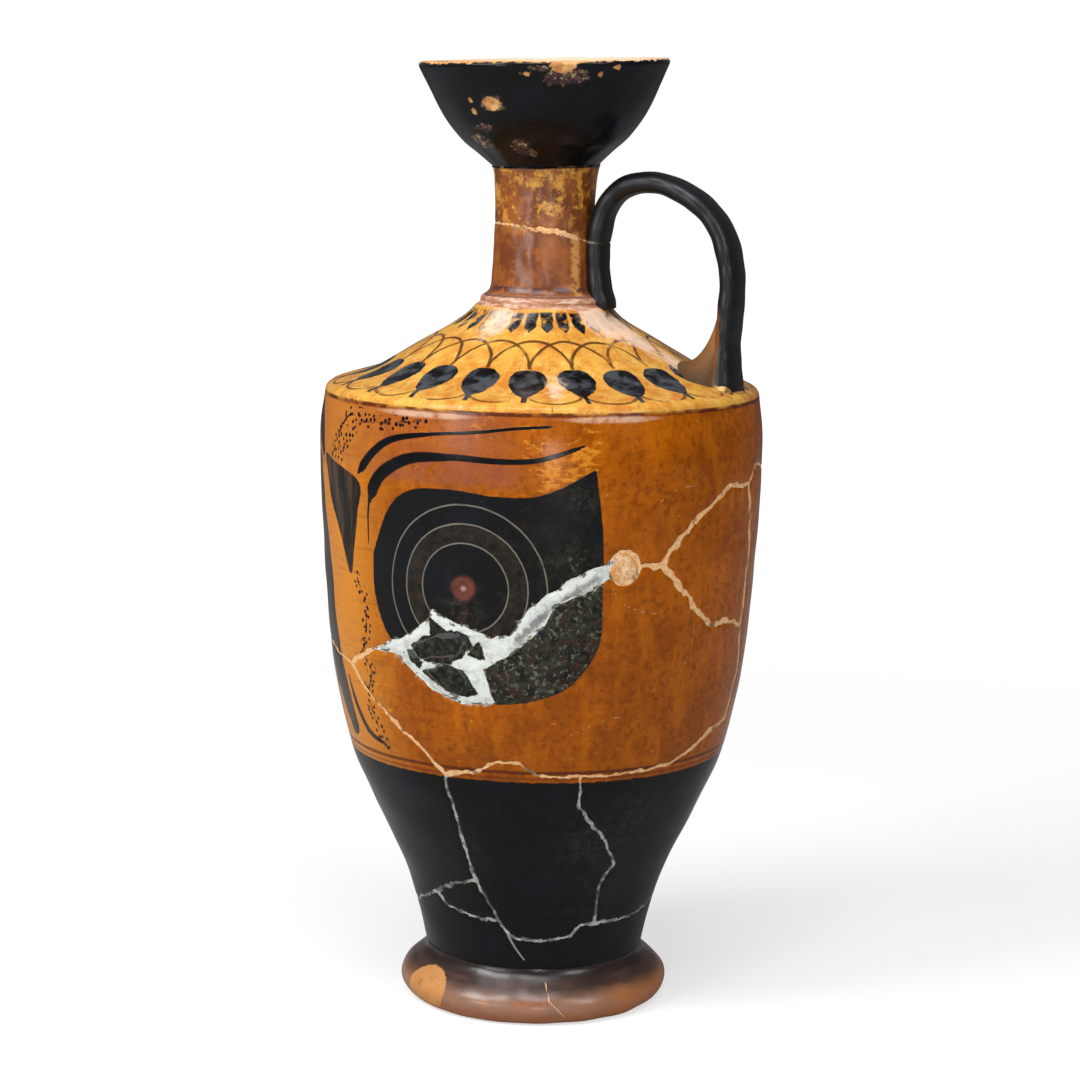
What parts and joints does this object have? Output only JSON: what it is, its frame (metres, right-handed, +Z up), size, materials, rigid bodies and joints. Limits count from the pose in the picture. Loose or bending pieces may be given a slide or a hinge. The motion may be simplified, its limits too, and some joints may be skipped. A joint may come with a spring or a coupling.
{
  "type": "shoulder lekythos",
  "caption": "Mended terracotta oil flask with a flaring cup mouth, narrow neck, sloping shoulder, tapering body, disc foot and one upright strap handle.",
  "frame": {"origin": "on the vessel's axis, in the plane that the foot stands on", "axes": "+Z up along the vessel's axis; +X towards the handle; the painted eye in the picture faces -Y"},
  "size_m": [0.1032, 0.1032, 0.2211],
  "materials": {
    "black_slip": "glossy black slip, worn to brown at edges",
    "painted_clay": "satin orange clay painted in black slip",
    "bare_clay": "satin orange-brown clay, mottled",
    "brown_slip": "glossy brown slip, misfired",
    "white_plaster": "matt white plaster",
    "cream_fill": "matt cream fill"
  },
  "bodies": {
    "root": {"foot": "brown_slip", "base_sherd": "black_slip", "lower_front_sherd": "black_slip", "lower_left_sherd": "black_slip", "back_wall_sherd": "painted_clay", "front_body_sherd": "painted_clay", "right_body_sherd": "painted_clay", "upper_body_sherd": "painted_clay", "eye_sherd_large": "black_slip", "eye_sherd_small": "black_slip", "eye_plaster_fill": "white_plaster", "round_patch_fill": "cream_fill", "neck_lower_sherd": "bare_clay", "neck_upper_sherd": "bare_clay", "mouth": "black_slip", "handle_arch": "black_slip", "handle_neck_stub": "black_slip", "handle_root_fill": "cream_fill"}
  },
  "joints": []
}
